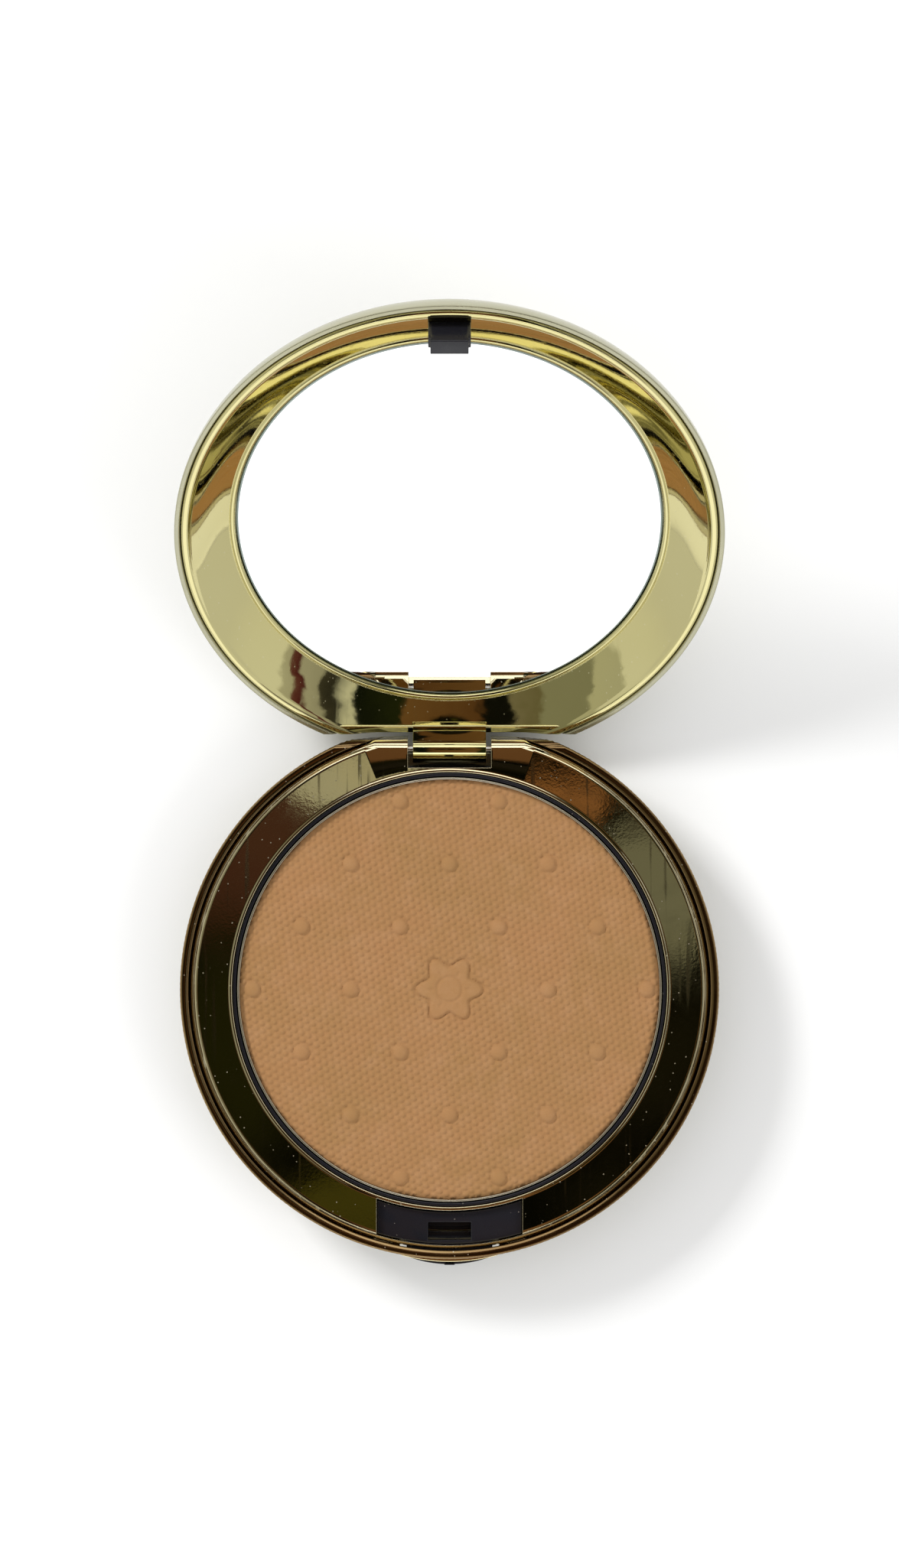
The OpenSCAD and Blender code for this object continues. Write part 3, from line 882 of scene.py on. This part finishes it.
# Rim of the bezel along the flat, with rounded edges
pts = arc(31.86, RIM + 0.58, 0.22, 150, 270, 8) + arc(32.58, RIM + 0.66, 0.30, 270, 350, 8)
pts += [(33.8, RIM + 2.2), (33.1, RIM + 2.2)]
bead = prism("lid_back_rim", pts, -FAR, FAR, axis="x", in_lid=True)
keep = [(30.5, RIM + 0.2), (35.55, RIM + 0.2), (35.55, RIM + 0.95), (30.5, RIM + 4.55)]
combine(bead, [lathe("cutter", keep, 360, in_lid=True)], "INTERSECT")
combine(bead, [lid_flat()])
give(bead, "lid", gold_bezel, "bezel_gold")

# Knuckle: a barrel round the pin that runs up into the bezel
pts = [(-1.28, 4.6), (-1.28, 0.3)]
pts += arc(0, 0, BARREL_R, 168, 262, 14)
pts += [(0.55, -1.42), (1.18, -1.44)]
pts += arc(1.12, -1.16, 0.28, -80, 20, 5)
pts += [(1.24, -0.5), (1.19, 0.2), (1.19, 2.2), (1.1, 2.9), (0.75, 4.0), (0.5, 5.0), (-0.6, 5.0)]
pts = [(PIN_Y + y, PIN_Z + z) for y, z in pts]
knuckle = prism("hinge_knuckle", pts, -5.09, 5.09, axis="x", in_lid=True)
combine(knuckle, [prism("cutter", pin_circle(BORE_R, 48), -12, 12, axis="x")])
soften(knuckle, 0.10, 3, 50)
give(knuckle, "lid", gold_bezel, "bezel_gold")

# Mirror with a ground edge
front = RIM + DISH + 0.35
prof = [(0, front), (MIRROR_R - 0.32, front), (MIRROR_R - 0.12, front + 0.05)]
prof += [(MIRROR_R, front + 0.2), (MIRROR_R, front + 1.0), (0, front + 1.0)]
glass = lathe("mirror_glass", prof, 600, smooth=10, in_lid=True)
give(glass, "lid", mirror_mat, "mirror_glass", "mirror")
glass.data.materials.append(mirror_edge)
facing = Vector((0, -math.sin(math.pi - OPEN), math.cos(math.pi - OPEN)))
for p in glass.data.polygons:
    if abs(abs(p.normal.dot(facing)) - 1) > 0.01:
        p.material_index = 1

# Catch: hook with rounded edges, and a thicker root
hook = [(-33.9, 13.0), (-33.9, 5.98), (-33.8, 5.9), (-31.95, 5.9), (-31.85, 6.0)]
hook += [(-31.85, 6.55), (-32.1, 6.78), (-32.5, 6.8), (-32.5, 13.0)]
catch = prism("lid_catch_hook", hook, -CATCH_W + 0.3, CATCH_W - 0.3, axis="x", in_lid=True)
soften(catch, 0.12, 3, 35)
give(catch, "lid", gloss_black, "black_plastic", "lid_catch")
root = box(-CATCH_W, CATCH_W, -33.89, -32.51, 6.42, 13.02, name="lid_catch_root", in_lid=True)
soften(root, 0.14)
give(root, "lid", gloss_black, "black_plastic")

# ---------------------------------------------------------------- carried-over CAD nodes
for n, mat in {
    "pan_adhesive": tape_mat,
    "ballast_disc": steel,
    "ballast_tape": tape_mat,
    "bottom_label": label_mat,
    "latch_spring_left": steel,
    "latch_spring_right": steel,
    "mirror_pad": tape_mat,
}.items():
    nodes[n].data.materials.clear()
    nodes[n].data.materials.append(mat)

# The two springs shorten against their fixed ends as the button goes in; here each only gets a
# mesh of its own
for n in ("latch_spring_left", "latch_spring_right"):
    (x0, y0, z0), (x1, y1, z1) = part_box(n)
    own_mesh(nodes[n])

# ---------------------------------------------------------------- stage
me = bpy.data.meshes.new("floor")
half = 3.0
corners = [(-half, -half, 0), (half, -half, 0), (half, half, 0), (-half, half, 0)]
me.from_pydata(corners, [], [(0, 1, 2, 3)])
floor = bpy.data.objects.new("floor", me)
bpy.context.scene.collection.objects.link(floor)
f = Nodes("mat_floor")
f.set(
    Base_Color=f.mix(f.noise(6, 3), rgb(0.90, 0.90, 0.895), rgb(0.885, 0.885, 0.88)),
    Roughness=0.75,
)
f.bsdf.inputs["Specular IOR Level"].default_value = 0.1
me.materials.append(f.mat)

# Room, as reflections see it: white low down, dark overhead where the camera is, with
# brown and grey shapes in the dark part. All other rays see one even grey.
CAM_Y, CAM_Z = 28.55, 650.0  # the camera's place, its height above the parting line
ROW_SCALE, ROW_SHIFT = 0.357, 0.5
world = bpy.data.worlds.new("room")
bpy.context.scene.world = world
world.use_nodes = True
nt = world.node_tree
nt.nodes.clear()


def wn(kind, **kw):
    n = nt.nodes.new(kind)
    for k, v in kw.items():
        setattr(n, k, v)
    return n


def wput(socket, v):
    if hasattr(v, "links"):
        nt.links.new(v, socket)
    else:
        socket.default_value = v


def wmath(op, a, b=0.0):
    n = wn("ShaderNodeMath", operation=op)
    wput(n.inputs[0], a)
    wput(n.inputs[1], b)
    return n.outputs[0]


def wlength(a, b):
    return wmath("SQRT", wmath("ADD", wmath("MULTIPLY", a, a), wmath("MULTIPLY", b, b)))


def wspan(src, a, b, lo, hi):
    n = wn("ShaderNodeMapRange", interpolation_type="SMOOTHSTEP")
    for k, v in zip(("From Min", "From Max", "To Min", "To Max"), (a, b, lo, hi)):
        n.inputs[k].default_value = v
    nt.links.new(src, n.inputs["Value"])
    return n.outputs["Result"]


def wmix(fac, a, b):
    n = wn("ShaderNodeMix", data_type="RGBA")
    wput(n.inputs[0], fac)
    wput(n.inputs[6], a)
    wput(n.inputs[7], b)
    return n.outputs[2]


def wnoise(scale, detail, distort=0.0):
    n = wn("ShaderNodeTexNoise")
    n.inputs["Scale"].default_value = scale
    n.inputs["Detail"].default_value = detail
    n.inputs["Distortion"].default_value = distort
    nt.links.new(gen, n.inputs["Vector"])
    return n.outputs["Fac"]


gen = wn("ShaderNodeTexCoord").outputs["Generated"]
sep = wn("ShaderNodeSeparateXYZ")
nt.links.new(gen, sep.inputs[0])
up = wmath("MAXIMUM", sep.outputs[2], 0.02)
fine = wnoise(34.0, 3.0)
wob = wmath("MULTIPLY", wmath("SUBTRACT", fine, 0.5), 0.035)
ux = wmath("ADD", wmath("DIVIDE", sep.outputs[0], up), wob)
uy = wmath("ADD", wmath("DIVIDE", sep.outputs[1], up), wmath("MULTIPLY", wob, -0.7))
reach = wlength(ux, uy)


def patch_at(under, cx, cy, rx, ry, colour, soft=0.12):
    """A lamp, window or dark shape, placed by its tangents from overhead."""
    dx = wmath("DIVIDE", wmath("SUBTRACT", ux, cx), rx)
    dy = wmath("DIVIDE", wmath("SUBTRACT", uy, cy), ry)
    return wmix(wspan(wlength(dx, dy), 1.0 - soft, 1.0 + soft, 1.0, 0.0), under, colour)


def blob(under, px, py, rx, ry, colour, soft=0.35):
    """A shape overhead, placed by the point of the ring's top that shows it."""
    cx, cy = px / CAM_Z, (py - CAM_Y) / CAM_Z
    return patch_at(under, cx, cy, rx / CAM_Z, ry / CAM_Z, colour, soft)


dark = wmix(wspan(fine, 0.35, 0.7, 0.0, 1.0), rgb(0.002, 0.002, 0.001), rgb(0.009, 0.008, 0.003))
dark = blob(dark, -30, 20, 9, 12, rgb(0.055, 0.022, 0.012))
dark = blob(dark, -24, 24, 6, 6, rgb(0.060, 0.026, 0.014))
dark = blob(dark, -15, 30, 7.5, 4.6, rgb(0.40, 0.39, 0.28), 0.15)
dark = blob(dark, -11, 32, 6.5, 4.5, rgb(0.42, 0.40, 0.27), 0.2)
dark = blob(dark, 16, 26, 8, 3.6, rgb(0.24, 0.105, 0.035), 0.25)
dark = blob(dark, 29, 12, 6, 10, rgb(0.16, 0.16, 0.11), 0.3)
dark = blob(dark, -16, -30, 8, 5, rgb(0.050, 0.044, 0.006), 0.6)
dark = blob(dark, -30, -8, 7, 14, rgb(0.012, 0.012, 0.002), 0.5)
# Further out overhead: a row of dark and pale shapes, side by side, with wavy edges
wave = wmath("MULTIPLY", wmath("SUBTRACT", wnoise(7.0, 3.0, 0.8), 0.5), 0.22)
row = wmath("ADD", wmath("MULTIPLY", wmath("ADD", ux, wave), ROW_SCALE), ROW_SHIFT)
ramp = wn("ShaderNodeValToRGB")
ramp.color_ramp.interpolation = "LINEAR"
el = ramp.color_ramp.elements
el[0].position, el[0].color = 0.0, rgb(0.50, 0.50, 0.44)
el[1].position, el[1].color = 1.0, rgb(0.62, 0.62, 0.56)
for at, before, after in (
    (-0.86, (0.55, 0.55, 0.46), (0.27, 0.27, 0.21)),
    (-0.46, (0.28, 0.28, 0.22), (0.17, 0.150, 0.090)),
    (-0.31, (0.21, 0.185, 0.13), (0.006, 0.006, 0.004)),
    (-0.15, (0.006, 0.006, 0.004), (0.115, 0.052, 0.020)),
    (0.24, (0.17, 0.085, 0.034), (0.016, 0.020, 0.006)),
    (0.50, (0.006, 0.008, 0.004), (0.70, 0.70, 0.66)),
    (0.60, (0.42, 0.42, 0.40), (0.030, 0.028, 0.022)),
    (0.74, (0.05, 0.045, 0.035), (0.38, 0.37, 0.34)),
    (0.90, (0.44, 0.43, 0.40), (0.085, 0.016, 0.018)),
    (1.02, (0.14, 0.05, 0.045), (0.48, 0.47, 0.42)),
):
    for off, col in ((-0.006, before), (0.006, after)):
        e = el.new(at * ROW_SCALE + ROW_SHIFT + off)
        e.color = rgb(*col)
nt.links.new(row, ramp.inputs["Fac"])
room = wmix(wspan(reach, 0.105, 0.14, 0.0, 1.0), dark, ramp.outputs["Color"])
room = patch_at(room, 0.02, 0.075, 0.055, 0.022, rgb(0.012, 0.010, 0.006), 0.3)
edge = wmath("ADD", reach, wmath("MULTIPLY", wmath("SUBTRACT", wnoise(5.0, 3.0, 1.0), 0.5), 0.5))
room = wmix(wspan(edge, 1.22, 1.30, 0.0, 1.0), room, rgb(0.83, 0.83, 0.78))
room = wmix(wspan(edge, 1.6, 3.2, 0.0, 1.0), room, rgb(0.76, 0.76, 0.74))
room = patch_at(room, 0.0, 0.80, 0.62, 0.34, rgb(1.9, 1.9, 1.9))
room = patch_at(room, -0.1, -1.25, 0.60, 0.28, rgb(2.0, 2.0, 2.0))
room = patch_at(room, 0.0, -4.2, 1.7, 2.0, rgb(1.45, 1.45, 1.45))
glossy = wn("ShaderNodeLightPath").outputs["Is Glossy Ray"]
bg = wn("ShaderNodeBackground")
bg.inputs["Strength"].default_value = 1.0
nt.links.new(wmix(glossy, rgb(0.78, 0.78, 0.78), room), bg.inputs["Color"])
wo = wn("ShaderNodeOutputWorld")
nt.links.new(bg.outputs[0], wo.inputs["Surface"])


def area(name, loc, size, power, target=(0, 0.02, 0.0)):
    """A soft light, which reflections don't show."""
    light = bpy.data.lights.new(name, "AREA")
    light.shape = "RECTANGLE"
    light.size, light.size_y = size
    light.energy = power
    o = bpy.data.objects.new(name, light)
    o.visible_glossy = False
    bpy.context.scene.collection.objects.link(o)
    o.location = loc
    o.rotation_mode = "QUATERNION"
    o.rotation_quaternion = (Vector(target) - Vector(loc)).to_track_quat("-Z", "Y")


area("key", (-0.75, 0.65, 0.62), (0.35, 0.25), 9.0)
area("fill", (0.8, -0.5, 0.7), (0.6, 0.5), 3.0)

# Camera: straight above, a little in front of the hinge, looking down
SENSOR, FOCAL, IMAGE_H = 36.0, 6121.0, 2050.0  # the last two in one unit
cam_data = bpy.data.cameras.new("camera")
cam_data.sensor_fit = "AUTO"
cam_data.sensor_width = SENSOR
cam_data.lens = SENSOR * FOCAL / IMAGE_H
cam_data.clip_start = 0.01
cam_data.clip_end = 20.0
cam = bpy.data.objects.new("camera", cam_data)
cam.location = (0.0, CAM_Y * MM, (TOP + LIFT + CAM_Z) * MM)
bpy.context.scene.collection.objects.link(cam)
bpy.context.scene.camera = cam
bpy.context.scene.view_settings.view_transform = "Standard"
